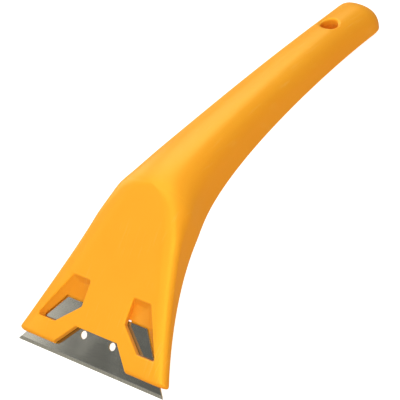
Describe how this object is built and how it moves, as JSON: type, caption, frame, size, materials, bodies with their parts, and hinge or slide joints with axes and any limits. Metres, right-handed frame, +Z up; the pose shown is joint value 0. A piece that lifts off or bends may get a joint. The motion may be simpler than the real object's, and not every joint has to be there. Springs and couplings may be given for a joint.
{
  "type": "razor blade scraper",
  "caption": "Hand scraper with a bent moulded handle, a wide flat head with side windows, and a removable trapezoid blade held in a slot.",
  "frame": {"origin": "middle of the part's footprint, on the surface it lies on", "axes": "+X across the blade, +Y from the cutting edge to the end of the handle, +Z up; the part lies with its hollow side down, on the cutting edge and the tip of the handle"},
  "size_m": [0.061, 0.1648, 0.0352],
  "materials": {
    "handle_plastic": "satin moulded",
    "blade_steel": "fine ground"
  },
  "bodies": {
    "handle": {"handle": "handle_plastic"},
    "blade": {"blade": "blade_steel"}
  },
  "joints": [
    {"name": "blade_slide", "type": "slide", "parent": "handle", "child": "blade", "axis": [0, -0.828, -0.5608], "range_m": [0, 0.02]}
  ]
}
